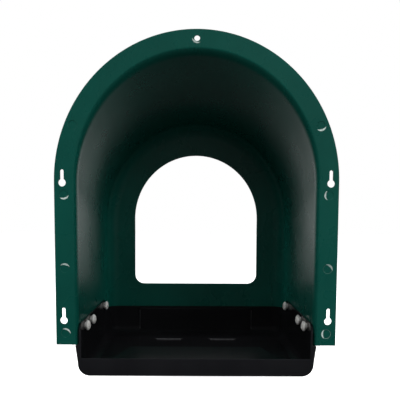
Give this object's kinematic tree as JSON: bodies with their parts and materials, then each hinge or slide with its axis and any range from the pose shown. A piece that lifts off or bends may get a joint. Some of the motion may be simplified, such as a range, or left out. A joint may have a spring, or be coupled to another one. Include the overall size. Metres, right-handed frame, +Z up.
{
  "type": "wall-hung poultry nest box",
  "caption": "Wall-hung nest box: arched moulded hood with a flanged open mouth, arched hen entry in its front wall, and a black litter tray bolted between its side walls.",
  "frame": {"origin": "on the wall plane, midway between the four keyhole head circles of the flange", "axes": "+X along the wall to the right as seen from the wall side, +Y away from the wall towards the hen entry, +Z up"},
  "size_m": [0.352, 0.263, 0.4276],
  "materials": {
    "hood_green": "satin moulded polypropylene, dark green",
    "tray_black": "moulded polypropylene, black with a soft shine",
    "nylon_white": "natural white nylon"
  },
  "bodies": {
    "hood": {"hood": "hood_green"},
    "tray": {"tray": "tray_black", "washer_left_near": "nylon_white", "washer_left_middle": "nylon_white", "washer_left_far": "nylon_white", "washer_right_near": "nylon_white", "washer_right_middle": "nylon_white", "washer_right_far": "nylon_white", "nut_left_near": "nylon_white", "nut_left_middle": "nylon_white", "nut_left_far": "nylon_white", "nut_right_near": "nylon_white", "nut_right_middle": "nylon_white", "nut_right_far": "nylon_white"},
    "screw_left_near": {"screw_left_near": "nylon_white"},
    "screw_left_middle": {"screw_left_middle": "nylon_white"},
    "screw_left_far": {"screw_left_far": "nylon_white"},
    "screw_right_near": {"screw_right_near": "nylon_white"},
    "screw_right_middle": {"screw_right_middle": "nylon_white"},
    "screw_right_far": {"screw_right_far": "nylon_white"}
  },
  "joints": [
    {"name": "tray_drop", "type": "slide", "parent": "hood", "child": "tray", "axis": [0, 0, -1], "range_m": [0, 0.06]},
    {"name": "screw_left_near_turn", "type": "hinge", "parent": "tray", "child": "screw_left_near", "pos_m": [-0.1475, 0.035, -0.0985], "axis": [-1, 0, 0], "continuous": true},
    {"name": "screw_left_middle_turn", "type": "hinge", "parent": "tray", "child": "screw_left_middle", "pos_m": [-0.1475, 0.0795, -0.0985], "axis": [-1, 0, 0], "continuous": true},
    {"name": "screw_left_far_turn", "type": "hinge", "parent": "tray", "child": "screw_left_far", "pos_m": [-0.1475, 0.2, -0.0985], "axis": [-1, 0, 0], "continuous": true},
    {"name": "screw_right_near_turn", "type": "hinge", "parent": "tray", "child": "screw_right_near", "pos_m": [0.1475, 0.035, -0.0985], "axis": [1, 0, 0], "continuous": true},
    {"name": "screw_right_middle_turn", "type": "hinge", "parent": "tray", "child": "screw_right_middle", "pos_m": [0.1475, 0.0795, -0.0985], "axis": [1, 0, 0], "continuous": true},
    {"name": "screw_right_far_turn", "type": "hinge", "parent": "tray", "child": "screw_right_far", "pos_m": [0.1475, 0.2, -0.0985], "axis": [1, 0, 0], "continuous": true}
  ]
}
